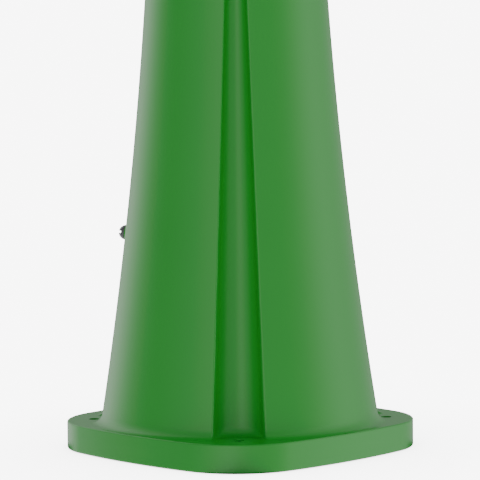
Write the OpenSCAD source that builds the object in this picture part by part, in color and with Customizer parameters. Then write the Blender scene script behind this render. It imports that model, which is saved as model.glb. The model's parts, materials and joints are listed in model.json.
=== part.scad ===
// Street lamp post: a fluted cast base with a service door, a tapered shaft and a
// post-top lantern. Millimetres, +Z up, origin at the centre of the flange underside.

/* [Flange] */

// Width of the square flange across its sides
flange_w = 400; // [380:5:440]
// Radius of the flange corners
flange_corner_r = 105; // [90:1:112]
// How far each flange side bulges out past a straight line
flange_bulge = 5.9; // [4:0.1:8]
// Thickness of the flange
flange_t = 36; // [30:1:44]
// Distance between neighbouring anchor holes
anchor_spacing = 276; // [270:1:290]
// Diameter of an anchor hole
anchor_d = 14; // [12:1:18]
// Diameter of the cable entry in the middle of the flange
entry_d = 120; // [100:5:130]

/* [Trunk] */

// Half width of the trunk across its flutes, at the foot
foot_w = 184; // [180:1:188]
// Radius of the neck at the top of the trunk
neck_r = 105.5; // [104:0.5:108]
// Height of the flared part of the trunk
flare_h = 994; // [980:1:1010]
// Height of the straight neck above the flare
neck_h = 20; // [18:1:30]
// Wall thickness of the casting
wall = 10; // [9:0.5:11]
// Half width of a flute at the foot
flute_half_w = 31.5; // [28:0.5:33]
// Height at which a flute has run out to nothing
flute_h = 970; // [960:1:980]
// Depth of a flute as a share of its half width
flute_depth = 0.92; // [0.86:0.01:0.94]
// Radius of the fillet between trunk and flange
foot_fillet = 11; // [8:1:13]

/* [Service door] */

// Height of the bottom edge of the door
door_z = 148; // [140:1:156]
// Height of the door
door_h = 270; // [260:1:276]
// Angle from the middle of the door to each side edge
door_angle = 34.4; // [33:0.1:34.6]
// Thickness of the door
door_t = 7; // [6:0.5:7.5]
// Corner radius of the door
door_corner_r = 14; // [8:1:20]
// Diameter of the domed lock head
lock_head_d = 20; // [16:1:20]
// Height of the boss under the lock head
lock_boss_h = 5.5; // [4:0.5:7]

/* [Shaft] */

// Height of the top of the shaft
shaft_top_z = 3200; // [2900:50:3600]
// Radius of the shaft where it leaves the collar
shaft_foot_r = 80; // [78:1:82]
// Radius of the shaft at its top
shaft_top_r = 60; // [58:1:62]
// Wall thickness of the shaft
shaft_wall = 5; // [4:0.5:6]

/* [Lantern] */

// Radius of the spigot that carries the lantern
spigot_r = 38; // [36:1:40]
// Radius of the diffuser at its top
diffuser_top_r = 172; // [168:1:174]
// Radius of the diffuser at its bottom
diffuser_foot_r = 104; // [102:1:106]
// Height of the diffuser
diffuser_h = 244; // [220:2:260]
// Radius of the canopy
canopy_r = 220; // [218:1:226]
// Height of the canopy dome
canopy_rise = 92; // [80:1:110]

/* [Show] */

// Which node to draw, or all of them

/* [Hidden] */

FINE = 96;
SMOOTH = 48;
BANDS = 12;
FLUTES = 6;
FLUTE_SIDES = 30;
EPS = 0.5;
BIG = 600;

trunk_top = flange_t + flare_h + neck_h;

green = [0.16, 0.45, 0.16];
steel = [0.72, 0.73, 0.74];
zinc = [0.6, 0.62, 0.63];
brass = [0.75, 0.6, 0.3];
black = [0.08, 0.08, 0.08];
grey = [0.55, 0.56, 0.57];
white = [0.93, 0.93, 0.9];
opal = [0.96, 0.96, 0.93, 0.7];

// Half width across the flutes at height h above the flange
function trunk_w(h) = neck_r + (foot_w - neck_r) * pow(1 - min(h, flare_h) / flare_h, 2);

// Half width of a flute at height h
function flute_b(h) = flute_half_w * max(0, 1 - h / flute_h);

// Outer radius of the lobes at height h
function lobe_r(h) = sqrt(pow(trunk_w(h), 2) + pow(flute_b(h), 2));

// Radius of the round cutter that makes a flute of half width b
function cutter_r(b) = b * (1 + flute_depth * flute_depth) / (2 * flute_depth);

// Distance from the post's axis to the middle of that cutter
function cutter_x(h) = trunk_w(h) - flute_depth * flute_b(h) + cutter_r(flute_b(h));

// Outline of the lobes between two heights, moved in by d and grown by e at each end
function lobe_band(h0, h1, n, d) = [
    for (i = [0:n])
        let (h = h0 + (h1 - h0) * i / n)
            [lobe_r(h) - d, flange_t + h]
];

// ---------- shared shapes ----------

// Solid of revolution under the lobes, moved in by d, from height h0 to h1
module lobes(h0, h1, d, n) {
    rotate_extrude($fn = FINE)
        polygon(concat([[0, flange_t + h0]], lobe_band(h0, h1, n, d), [[0, flange_t + h1]]));
}

// Corners of a flute cutter, grown by g: one ring of points at each height
function flute_points(g) = [
    for (i = [0:FLUTES])
        let (h = 0.95 * flute_h * i / FLUTES, r = cutter_r(flute_b(h)) + g)
            for (k = [0:FLUTE_SIDES - 1])
                [cutter_x(h) + r * cos(360 * k / FLUTE_SIDES),
                    r * sin(360 * k / FLUTE_SIDES), flange_t + h]
];

// One tapered cutter that follows the flare, grown by g
module flute_cutter(g) {
    n = FLUTE_SIDES;
    sides = [
        for (i = [0:FLUTES - 1])
            for (k = [0:n - 1])
                [i * n + k, (i + 1) * n + k, (i + 1) * n + (k + 1) % n, i * n + (k + 1) % n]
    ];
    foot = [[for (k = [0:n - 1]) k]];
    top = [[for (k = [n - 1:-1:0]) FLUTES * n + k]];
    polyhedron(points = flute_points(g), faces = concat(foot, sides, top), convexity = 4);
}

// The four flute cutters, grown by g
module flutes(g) {
    for (a = [45:90:315])
        rotate([0, 0, a])
            flute_cutter(g);
}

// A straight screw along +Z with its head under z = 0
module screw(shank_r, shank_l, head_r, head_h) {
    cylinder(h = shank_l, r = shank_r, $fn = SMOOTH);
    translate([0, 0, -head_h])
        cylinder(h = head_h, r = head_r, $fn = SMOOTH);
}

module ring(r_out, r_in, h) {
    difference() {
        cylinder(h = h, r = r_out, $fn = FINE);
        translate([0, 0, -EPS])
            cylinder(h = h + 2 * EPS, r = r_in, $fn = FINE);
    }
}

// A box given by its low and high corners
module block(low, high) {
    translate(low)
        cube(high - low);
}

// ---------- base casting ----------

side_arc_r = pow(flange_w / 2 - flange_corner_r, 2) / (2 * flange_bulge) + flange_bulge / 2;
side_arc_x = flange_w / 2 - side_arc_r;
inner_arc_r = side_arc_r - flange_corner_r;
corner_c = (side_arc_x + sqrt(2 * inner_arc_r * inner_arc_r - side_arc_x * side_arc_x)) / 2;
corner_cut = (side_arc_x + side_arc_r * (corner_c - side_arc_x + corner_c) / inner_arc_r)
    / sqrt(2);

module flange_outline() {
    intersection() {
        bulging_sides();
        rotate(45)
            square(2 * corner_cut, center = true);
    }
    for (x = [-corner_c, corner_c])
        for (y = [-corner_c, corner_c])
            translate([x, y])
                circle(r = flange_corner_r, $fn = FINE);
}

// The four bulging sides
module bulging_sides() {
    intersection() {
        translate([side_arc_x, 0])
            circle(r = side_arc_r, $fn = 2 * FINE);
        translate([-side_arc_x, 0])
            circle(r = side_arc_r, $fn = 2 * FINE);
        translate([0, side_arc_x])
            circle(r = side_arc_r, $fn = 2 * FINE);
        translate([0, -side_arc_x])
            circle(r = side_arc_r, $fn = 2 * FINE);
    }
}

module flange() {
    difference() {
        linear_extrude(height = flange_t)
            flange_outline();
        for (x = [-1, 1])
            for (y = [-1, 1])
                translate([x * anchor_spacing / 2, y * anchor_spacing / 2, -EPS])
                    cylinder(h = flange_t + 2 * EPS, d = anchor_d, $fn = SMOOTH);
    }
}

// Fillet at the foot of the trunk, before the flutes are cut
module foot_ring() {
    steps = 6;
    r0 = lobe_r(0);
    arc = [
        for (i = [0:steps])
            [r0 + foot_fillet * (1 - cos(90 * i / steps)),
                flange_t + foot_fillet * (1 - sin(90 * i / steps))]
    ];
    rotate_extrude($fn = FINE)
        polygon(concat([[r0 - wall, flange_t]], [[r0 - wall, flange_t + foot_fillet]], arc));
}

door_gap = 1.5;
socket_r = shaft_foot_r + 0.4;
socket_z = trunk_top - 120;
cavity_h = socket_z - 25 - flange_t;
floor_h = 3;
door_mid_z = door_z + door_h / 2;

// The space a door takes through the wall, grown by g at its edges
module door_outline(g) {
    half = door_angle + g / lobe_r(door_mid_z - flange_t) * 180 / PI;
    corner = door_corner_r + g;
    low = door_z - g;
    high = door_z + door_h + g;
    difference() {
        translate([0, 0, low])
            linear_extrude(height = high - low)
                polygon([[0, 0], [-BIG * cos(half), -BIG * sin(half)],
                    [-BIG * cos(half), BIG * sin(half)]]);
        for (side = [-1, 1])
            rotate([0, 0, 180 + side * half])
                for (end = [-1, 1])
                    translate([0, -side * corner, end > 0 ? high - corner : low + corner])
                        corner_waste(corner, side, end);
    }
}

// How much larger the corner's circle is, so that it crosses the straight edges
corner_ease = 0.8;

// What a rounded corner takes off a door outline
module corner_waste(r, side, end) {
    rotate([0, 90, 0])
        difference() {
            translate([end > 0 ? -r - EPS : 0, side > 0 ? 0 : -r - EPS, 60])
                cube([r + EPS, r + EPS, 200]);
            translate([0, 0, 59])
                cylinder(h = 202, r = r + corner_ease, $fn = SMOOTH);
        }
}

hinge_az = 139.2;
hinge_x = 151;
hinge_lean = 6.8;
hinge_knuckle = 14;
hinge_pin_r = 3;
hinge_barrel_r = 7;
hinge_heights = [-70, 70];

// Puts its children on the door's hinge line, with z along it
module hinge_frame() {
    rotate([0, 0, hinge_az])
        translate([hinge_x, 0, door_mid_z])
            rotate([0, -hinge_lean, 0])
                children();
}

lock_az = 210.5;
lock_depth = 39;
lock_r = 4;
lock_recess_r = 11;
run_gap = 0.05;

// Puts its children on the lock's axis, with z pointing out of the door's surface
module lock_frame() {
    rotate([0, 0, lock_az])
        translate([lobe_r(door_mid_z - flange_t), 0, door_mid_z])
            rotate([0, 90 - hinge_lean, 0])
                children();
}

// The part of the trunk's wall behind the door, between two depths under its surface
module door_shell(d0, d1, g) {
    low = door_z - flange_t;
    intersection() {
        difference() {
            lobes(low - 9, low + door_h + 9, d0, 4);
            lobes(low - 20, low + door_h + 20, d1, 4);
        }
        door_outline(g);
    }
}

lip_depth = wall - 1;
lip_t = 5;
lip_w = 7;

// The lip inside the wall that the door closes on
module door_lip() {
    difference() {
        door_shell(lip_depth, lip_depth + lip_t, lip_w / 2);
        door_outline(-lip_w);
        lock_clearance();
    }
}

module lock_clearance() {
    lock_frame()
        cylinder(h = 80, r = lock_head_d / 2 + 6, center = true, $fn = SMOOTH);
}

board_x = 60;
board_t = 6;
board_screw_y = 45;
board_screw_z = [140, 425];

// Bosses that carry the gear board
module board_lugs() {
    difference() {
        intersection() {
            for (y = [-board_screw_y, board_screw_y])
                for (z = board_screw_z)
                    translate([board_x + board_t, y, z])
                        rotate([0, 90, 0])
                            cylinder(h = BIG, r = 9, $fn = SMOOTH);
            lobes(0, flare_h, wall / 2, BANDS);
        }
        flutes(wall / 2);
    }
}

bolt_z = trunk_top - 14;
bolt_r = 5;
bolt_head_r = 8;

module shaft_bolt_holes() {
    for (a = [0:120:240])
        rotate([0, 0, a + 60])
            translate([0, 0, bolt_z])
                rotate([0, 90, 0]) {
                    cylinder(h = BIG, r = bolt_r + 0.1, $fn = SMOOTH);
                    translate([0, 0, neck_r - 7])
                        cylinder(h = BIG, r = bolt_head_r + 0.5, $fn = SMOOTH);
                }
}

// Flange, trunk and neck as one solid, before it is hollowed
module casting_body() {
    flange();
    difference() {
        union() {
            lobes(0, flare_h, 0, BANDS);
            translate([0, 0, flange_t + flare_h - EPS])
                cylinder(h = neck_h + EPS, r = neck_r, $fn = FINE);
            foot_ring();
        }
        flutes(0);
    }
}

module casting_cavity() {
    difference() {
        lobes(floor_h, cavity_h, wall, BANDS);
        flutes(wall);
    }
}

// Recess in the wall behind the lock, so its nut and barrel clear the flute's inner side
module lock_recess() {
    lock_frame()
        translate([0, 0, cam_t - lock_depth])
            cylinder(h = lock_depth - cam_t - lip_depth, r = lock_recess_r, $fn = SMOOTH);
}

// Everything bored through the casting
module casting_holes() {
    lock_recess();
    translate([0, 0, -EPS])
        cylinder(h = flange_t + floor_h + 2 * EPS, d = entry_d, $fn = FINE);
    translate([0, 0, flange_t + cavity_h - EPS])
        cylinder(h = BIG, r = shaft_foot_r - 14, $fn = FINE);
    translate([0, 0, socket_z])
        cylinder(h = BIG, r = socket_r, $fn = FINE);
    shaft_bolt_holes();
    board_screw_set(0.1);
    hinge_frame()
        for (z = hinge_heights)
            translate([0, 0, z - hinge_knuckle - EPS])
                cylinder(h = hinge_knuckle + 1, r = hinge_pin_r, $fn = SMOOTH);
}

module base_casting() {
    color(green)
        difference() {
            union() {
                difference() {
                    casting_body();
                    casting_cavity();
                    door_shell(-20, wall + 3, door_gap);
                }
                board_lugs();
                door_lip();
                hinge_lugs();
            }
            casting_holes();
        }
}

// Fixed hinge knuckles that stand in the flute
module hinge_lugs() {
    hinge_frame()
        for (z = hinge_heights)
            translate([0, 0, z - hinge_knuckle]) {
                cylinder(h = hinge_knuckle, r = hinge_barrel_r, $fn = SMOOTH);
                translate([-25, -5, 0])
                    cube([25, 8, hinge_knuckle]);
            }
}

module hinge_pins() {
    color(steel)
        hinge_frame()
            for (z = hinge_heights)
                translate([0, 0, z - hinge_knuckle])
                    cylinder(h = 2 * hinge_knuckle, r = hinge_pin_r, $fn = SMOOTH);
}

module door_gasket() {
    color(black)
        difference() {
            door_shell(door_t + 0.3, lip_depth, -0.5);
            door_outline(0.5 - lip_w);
            lock_clearance();
        }
}

// ---------- door and lock ----------

strap_y = 38;
strap_root_y = 21;

module door() {
    color(green)
        difference() {
            union() {
                door_shell(0, door_t, 0);
                hinge_frame()
                    for (z = hinge_heights)
                        translate([0, 0, z + 0.4])
                            door_strap();
                lock_frame() {
                    translate([0, 0, -door_t / 2])
                        cylinder(h = lock_boss_h + door_t / 2, r = lock_head_d / 2 + 1.5,
                            $fn = SMOOTH);
                    translate([0, 0, -door_t - 4])
                        cylinder(h = door_t, r = lock_head_d / 2, $fn = SMOOTH);
                }
            }
            lock_frame()
                cylinder(h = 100, r = lock_r + run_gap, center = true, $fn = SMOOTH);
        }
}

// Moving knuckle and the strap that joins it to the door
module door_strap() {
    difference() {
        union() {
            cylinder(h = hinge_knuckle, r = hinge_barrel_r, $fn = SMOOTH);
            translate([1.5, 0, 0])
                cube([hinge_barrel_r - 2, strap_y, hinge_knuckle]);
            translate([-7, strap_root_y, 0])
                cube([hinge_barrel_r + 6.5, strap_y - strap_root_y, hinge_knuckle]);
        }
        translate([0, 0, -EPS])
            cylinder(h = hinge_knuckle + 1, r = hinge_pin_r + run_gap, $fn = SMOOTH);
    }
}

module lock_nut() {
    color(zinc)
        lock_frame()
            translate([0, 0, -door_t - 8])
                difference() {
                    cylinder(h = 4, r = 9, $fn = 6);
                    translate([0, 0, -EPS])
                        cylinder(h = 5, r = lock_r + run_gap, $fn = SMOOTH);
                }
}

cam_t = 4;
cam_hub_r = 3;

module lock_barrel() {
    slot_w = 3.6;
    slot_depth = 5.5;
    head_r = lock_head_d / 2;
    color(steel)
        lock_frame() {
            difference() {
                union() {
                    intersection() {
                        translate([0, 0, lock_boss_h])
                            sphere(r = head_r, $fn = FINE);
                        translate([0, 0, lock_boss_h + 0.3])
                            cylinder(h = head_r, r = head_r, $fn = FINE);
                    }
                    translate([0, 0, cam_t - lock_depth])
                        cylinder(h = lock_depth - cam_t + lock_boss_h + 1, r = lock_r,
                            $fn = SMOOTH);
                }
                translate([-slot_w / 2, -head_r, lock_boss_h + head_r - slot_depth])
                    cube([slot_w, 2 * head_r, head_r]);
            }
            translate([0, 0, -lock_depth])
                cylinder(h = cam_t + EPS, r = cam_hub_r, $fn = SMOOTH);
        }
}

module lock_cam() {
    color(zinc)
        lock_frame()
            translate([0, 0, -lock_depth])
                difference() {
                    union() {
                        cylinder(h = cam_t, r = 8, $fn = SMOOTH);
                        translate([-21, -5, 0])
                            cube([21, 10, cam_t]);
                    }
                    translate([0, 0, -EPS])
                        cylinder(h = cam_t + 1, r = cam_hub_r, $fn = SMOOTH);
                }
}

module cam_screw() {
    color(steel)
        lock_frame()
            translate([0, 0, -lock_depth - 3])
                cylinder(h = 3, r = 6, $fn = SMOOTH);
}

// ---------- collar, shaft and spigot ----------

collar_h = 50;

module collar_ring() {
    r0 = socket_r;
    z0 = trunk_top;
    bead = [
        for (i = [0:8])
            [neck_r + 4 + 9 * sin(180 * i / 8), z0 + 4 + 22 * i / 8]
    ];
    color(green)
        rotate_extrude($fn = FINE)
            polygon(concat([[r0, z0], [neck_r + 4, z0]], bead,
                [[neck_r - 6, z0 + 30], [shaft_foot_r + 8, z0 + collar_h], [r0, z0 + collar_h]]));
}

cone_z = trunk_top + collar_h;

function shaft_r(z) = shaft_foot_r
    + (shaft_top_r - shaft_foot_r) * max(0, (z - cone_z) / (shaft_top_z - cone_z));

module shaft() {
    inner = shaft_wall;
    color(green)
        rotate_extrude($fn = FINE)
            polygon([[shaft_foot_r - inner, socket_z], [shaft_foot_r, socket_z],
                [shaft_foot_r, cone_z], [shaft_top_r, shaft_top_z],
                [shaft_top_r - inner, shaft_top_z], [shaft_foot_r - inner, cone_z]]);
}

module shaft_bolts() {
    key_r = 4;
    color(steel)
        for (a = [0:120:240])
            rotate([0, 0, a + 60])
                translate([neck_r - 7, 0, bolt_z])
                    rotate([0, -90, 0])
                        difference() {
                            screw(bolt_r, neck_r - 7 - shaft_foot_r, bolt_head_r, 6);
                            translate([0, 0, -6 - EPS])
                                cylinder(h = 3.5, r = key_r, $fn = 6);
                        }
}

band_z = shaft_top_z - 70;

module upper_band() {
    r0 = shaft_r(band_z) + 0.3;
    bead = [
        for (i = [0:8])
            [r0 + 5 + 7 * sin(180 * i / 8), band_z + 30 * i / 8]
    ];
    color(green)
        rotate_extrude($fn = FINE)
            polygon(concat([[r0, band_z]], bead, [[r0, band_z + 30]]));
}

spigot_top = shaft_top_z + 100;
plug_r = shaft_top_r - shaft_wall - 0.3;

module spigot() {
    bore = spigot_r - 8;
    color(green)
        difference() {
            union() {
                translate([0, 0, shaft_top_z - 50])
                    cylinder(h = 50 + EPS, r = plug_r, $fn = FINE);
                translate([0, 0, shaft_top_z])
                    cylinder(h = 12, r = shaft_top_r, $fn = FINE);
                translate([0, 0, shaft_top_z + 12 - EPS])
                    cylinder(h = spigot_top - shaft_top_z - 12 + EPS, r = spigot_r, $fn = FINE);
            }
            translate([0, 0, shaft_top_z - 50 - EPS])
                cylinder(h = 200, r = bore, $fn = FINE);
        }
}

// ---------- electrical gear in the trunk ----------

board_half_w = 62;
board_low = 124;
board_high = 441;

module board_screw_set(g) {
    for (y = [-board_screw_y, board_screw_y])
        for (z = board_screw_z)
            translate([board_x, y, z])
                rotate([0, 90, 0])
                    screw(3 + g, 24, 5.5 + g, 4);
}

module gear_board() {
    color(grey)
        difference() {
            block([board_x, -board_half_w, board_low],
                [board_x + board_t, board_half_w, board_high]);
            board_screw_set(0.1);
        }
}

module board_screws() {
    color(zinc)
        board_screw_set(0);
}

box_x = 8;
box_half_w = 40;
box_low = 270;
box_high = 395;
box_wall = 3;
cover_t = 4;
cover_axis_y = box_half_w + 6;
cover_axis_x = box_x - 1;
cable_x = 22;
cable_r = 5;
link_r = 4;

module terminal_box() {
    color(grey)
        difference() {
            union() {
                block([box_x, -box_half_w, box_low], [board_x, box_half_w, box_high]);
                for (z = [box_low + 15, box_high - 27])
                    cover_lug(z, box_x + 9);
            }
            block([box_x - 1, -box_half_w + box_wall, box_low + box_wall],
                [board_x - box_wall, box_half_w - box_wall, box_high - box_wall]);
            translate([cable_x, 0, box_high - 10])
                cylinder(h = 20, r = 7, $fn = SMOOTH);
            translate([cable_x, 0, box_low - 5])
                cylinder(h = 20, r = link_r + 0.2, $fn = SMOOTH);
            for (z = [box_low + 14, box_high - 28])
                translate([cover_axis_x, cover_axis_y, z])
                    cylinder(h = 14, r = 2, $fn = SMOOTH);
        }
}

// Fixed ear of the cover's hinge
module cover_lug(z, x_end) {
    translate([cover_axis_x, cover_axis_y, z])
        cylinder(h = 12, r = 4.5, $fn = SMOOTH);
    block([box_x, box_half_w - 1, z], [x_end, cover_axis_y + 4.5, z + 12]);
}

module cover_pin() {
    color(steel)
        translate([cover_axis_x, cover_axis_y, box_low + 15])
            cylinder(h = box_high - box_low - 30, r = 2, $fn = SMOOTH);
}

module box_cover() {
    knuckle_low = box_low + 27.5;
    knuckle_h = box_high - box_low - 55;
    color(grey)
        difference() {
            union() {
                block([box_x - 0.5 - cover_t, -box_half_w, box_low],
                    [box_x - 0.5, box_half_w, box_high]);
                translate([cover_axis_x, cover_axis_y, knuckle_low])
                    cylinder(h = knuckle_h, r = 4.5, $fn = SMOOTH);
                block([box_x - 0.5 - cover_t, box_half_w - 1, knuckle_low],
                    [box_x - 0.5, cover_axis_y, knuckle_low + knuckle_h]);
            }
            translate([cover_axis_x, cover_axis_y, box_low])
                cylinder(h = box_high, r = 2 + run_gap, $fn = SMOOTH);
            translate([0, -box_half_w + 9, (box_low + box_high) / 2])
                rotate([0, 90, 0])
                    cylinder(h = 40, r = 2.5, center = true, $fn = SMOOTH);
        }
}

module cover_screw() {
    color(zinc)
        translate([box_x - 0.5 - cover_t, -box_half_w + 9, (box_low + box_high) / 2])
            rotate([0, 90, 0])
                screw(2.5, cover_t, 5, 3);
}

block_pitch = 13;

module terminal_block() {
    color(white)
        difference() {
            block([board_x - box_wall - 22, -30, 320], [board_x - box_wall, 30, 345]);
            terminal_screw_set(0);
        }
}

module terminal_screw_set(g) {
    for (i = [-1.5:1:1.5])
        for (z = [326, 339])
            translate([board_x - box_wall - 23, i * block_pitch, z])
                rotate([0, 90, 0])
                    cylinder(h = 12, r = 3 + g, $fn = SMOOTH);
}

module terminal_screws() {
    color(brass)
        terminal_screw_set(0);
}

cutout_low = 165;
cutout_high = 245;
cutout_x = 12;
carrier_half_w = 11;
carrier_low = 175;
carrier_high = 232;
carrier_gap = 0.6;
entry_x = 30;

module cutout_block() {
    pocket_x = 44;
    color(black)
        difference() {
            block([cutout_x, -36, cutout_low], [board_x, 36, cutout_high]);
            block([cutout_x - 1, -carrier_half_w - carrier_gap, carrier_low - carrier_gap],
                [pocket_x, carrier_half_w + carrier_gap, carrier_high + carrier_gap]);
            blade_set(carrier_gap);
            translate([entry_x, 0, cutout_low - 1])
                cylinder(h = 7, r = 10, $fn = SMOOTH);
            translate([cable_x, 0, cutout_high - 6])
                cylinder(h = 7, r = link_r + 0.2, $fn = SMOOTH);
        }
}

module blade_set(g) {
    for (z = [184, 216])
        block([41 - g, -1.5 - g, z - g], [54 + g, 1.5 + g, z + 8 + g]);
}

module carrier_blades() {
    color(brass)
        blade_set(0);
}

link_len = 38;
link_rad = 7;
link_x = 26;

module fuse_carrier() {
    mid = (carrier_low + carrier_high) / 2;
    color(black)
        difference() {
            union() {
                block([cutout_x - 4, -carrier_half_w, carrier_low],
                    [43, carrier_half_w, carrier_high]);
                block([cutout_x - 24, -4, mid - 18], [cutout_x - 3, 4, mid + 18]);
            }
            translate([link_x, 0, mid - link_len / 2])
                cylinder(h = link_len, r = link_rad, $fn = SMOOTH);
            block([link_x - 5, -carrier_half_w - 1, mid - 14],
                [link_x + 5, carrier_half_w + 1, mid + 14]);
            blade_set(0);
        }
}

module fuse_link() {
    mid = (carrier_low + carrier_high) / 2;
    color(white)
        translate([link_x, 0, mid - link_len / 2])
            cylinder(h = link_len, r = link_rad, $fn = SMOOTH);
}

module supply_gland() {
    color(black)
        translate([entry_x, 0, cutout_low - 18])
            difference() {
                union() {
                    cylinder(h = 24, r = 10, $fn = SMOOTH);
                    translate([0, 0, 4])
                        cylinder(h = 14, r = 15, $fn = 6);
                }
                translate([0, 0, -EPS])
                    cylinder(h = 30, r = 8, $fn = SMOOTH);
            }
}

module link_cable() {
    color(black)
        translate([cable_x, 0, cutout_high - 6])
            cylinder(h = box_low - cutout_high + 20, r = link_r, $fn = SMOOTH);
}

module lamp_gland() {
    color(black)
        translate([cable_x, 0, box_high - 6])
            difference() {
                union() {
                    cylinder(h = 28, r = 7, $fn = SMOOTH);
                    translate([0, 0, 6])
                        cylinder(h = 14, r = 11, $fn = 6);
                }
                translate([0, 0, -EPS])
                    cylinder(h = 40, r = cable_r, $fn = SMOOTH);
            }
}

plate_z = spigot_top + 24;

module lamp_cable() {
    color(black)
        translate([cable_x, 0, box_high - 30])
            cylinder(h = plate_z - 12 - box_high + 30, r = cable_r, $fn = SMOOTH);
}

earth_y = -30;
earth_z = 139;

module earth_stud() {
    color(brass)
        translate([board_x - 20, earth_y, earth_z])
            rotate([0, 90, 0])
                cylinder(h = 20, r = 4, $fn = SMOOTH);
}

module earth_nuts() {
    color(brass)
        for (x = [board_x - 7, board_x - 15])
            translate([x, earth_y, earth_z])
                rotate([0, 90, 0])
                    difference() {
                        cylinder(h = 6, r = 7.5, $fn = 6);
                        translate([0, 0, -EPS])
                            cylinder(h = 7, r = 4, $fn = SMOOTH);
                    }
}

// ---------- lantern ----------

fitter_low = shaft_top_z + 14;
fitter_top = spigot_top + 30;
fitter_r = 124;
grub_z = shaft_top_z + 50;

module fitter() {
    shell = [
        for (i = [0:8])
            let (t = i / 8)
                [54 + (fitter_r - 54) * t * t, grub_z + 12 + (fitter_top - 8 - grub_z - 12) * t]
    ];
    color(green)
        difference() {
            rotate_extrude($fn = FINE)
                polygon(concat([[spigot_r + 0.3, fitter_low], [54, fitter_low]], shell,
                    [[fitter_r, fitter_top], [106, fitter_top], [100, fitter_top - 6],
                        [62, spigot_top + 2], [spigot_r - 6, spigot_top + 2],
                        [spigot_r - 6, spigot_top], [spigot_r + 0.3, spigot_top]]));
            for (a = [0:120:240])
                rotate([0, 0, a])
                    translate([0, 0, grub_z])
                        rotate([0, 90, 0])
                            cylinder(h = 80, r = 4, $fn = SMOOTH);
            strut_rods(strut_r);
        }
    color(green)
        plate_posts();
}

// Bosses that carry the gear plate, standing on the fitter's sloped floor
module plate_posts() {
    for (a = [60:120:300])
        rotate([0, 0, a])
            translate([80, 0, 0])
                difference() {
                    translate([0, 0, spigot_top + 4])
                        cylinder(h = plate_z - spigot_top - 4, r = 7, $fn = SMOOTH);
                    translate([0, 0, plate_z - 10])
                        cylinder(h = 20, r = 2.5, $fn = SMOOTH);
                }
}

module fitter_screws() {
    color(steel)
        for (a = [0:120:240])
            rotate([0, 0, a])
                translate([spigot_r, 0, grub_z])
                    rotate([0, 90, 0])
                        difference() {
                            cylinder(h = 18, r = 4, $fn = SMOOTH);
                            translate([0, 0, 14])
                                cylinder(h = 5, r = 2.3, $fn = 6);
                        }
}

module gear_plate() {
    color(zinc)
        translate([0, 0, plate_z])
            difference() {
                cylinder(h = 3, r = 96, $fn = FINE);
                for (a = [60:120:300])
                    rotate([0, 0, a])
                        translate([80, 0, -EPS])
                            cylinder(h = 5, r = 2.6, $fn = SMOOTH);
            }
}

module plate_screws() {
    color(steel)
        for (a = [60:120:300])
            rotate([0, 0, a])
                translate([80, 0, plate_z + 3])
                    rotate([180, 0, 0])
                        screw(2.5, 12, 5, 3);
}

module surge_module() {
    color(black)
        block([cable_x - 16, -20, plate_z - 12], [cable_x + 24, 20, plate_z]);
}

holder_z = plate_z + 3;

module lamp_holder() {
    color(white)
        translate([0, 0, holder_z])
            difference() {
                cylinder(h = 48, r = 24, $fn = FINE);
                translate([0, 0, 12])
                    cylinder(h = 40, r = 14, $fn = FINE);
            }
}

module lamp_cap() {
    color(brass)
        translate([0, 0, holder_z + 12.5])
            cylinder(h = 36, r = 13.4, $fn = FINE);
}

lamp_z = holder_z + 48.5;

module lamp_body() {
    color(white)
        translate([0, 0, lamp_z])
            cylinder(h = 46, r1 = 16, r2 = 31, $fn = FINE);
}

module lamp_globe() {
    color(opal)
        translate([0, 0, lamp_z + 46])
            difference() {
                translate([0, 0, 8])
                    sphere(r = 35, $fn = FINE);
                translate([0, 0, -50])
                    cylinder(h = 50, r = 50, $fn = FINE);
            }
}

diffuser_z = fitter_top + 6;
diffuser_t = 4;
ring_z = diffuser_z + diffuser_h + 6;
ring_h = 20;

module lower_seal() {
    color(black)
        translate([0, 0, fitter_top])
            ring(112, 100.5, 6);
}

function diffuser_r(t) = diffuser_foot_r + (diffuser_top_r - diffuser_foot_r) * t
    + 5 * sin(180 * t);

module diffuser() {
    steps = 10;
    outer = [
        for (i = [0:steps])
            [diffuser_r(i / steps), diffuser_z + diffuser_h * i / steps]
    ];
    inner = [
        for (i = [steps:-1:0])
            [diffuser_r(i / steps) - diffuser_t, diffuser_z + diffuser_h * i / steps]
    ];
    color(opal)
        rotate_extrude($fn = FINE)
            polygon(concat(outer, inner));
}

module upper_seal() {
    color(black)
        translate([0, 0, ring_z - 6])
            ring(diffuser_top_r + 3, diffuser_top_r - 8, 6);
}

strut_r = 4;

// The four rods that carry the top ring
module strut_rods(r) {
    r0 = fitter_r - 6;
    r1 = diffuser_top_r + 10;
    z0 = fitter_top - 6;
    z1 = ring_z + 10;
    for (a = [45:90:315])
        rotate([0, 0, a])
            translate([r0, 0, z0])
                rotate([0, atan((r1 - r0) / (z1 - z0)), 0])
                    cylinder(h = norm([r1 - r0, z1 - z0]), r = r, $fn = SMOOTH);
}

module struts() {
    color(green)
        strut_rods(strut_r);
}

canopy_axis_x = 205;
canopy_axis_z = ring_z + 14;
canopy_pin_r = 3;
ear_y = 14;
ear_w = 10;
catch_x = -198;

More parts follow.
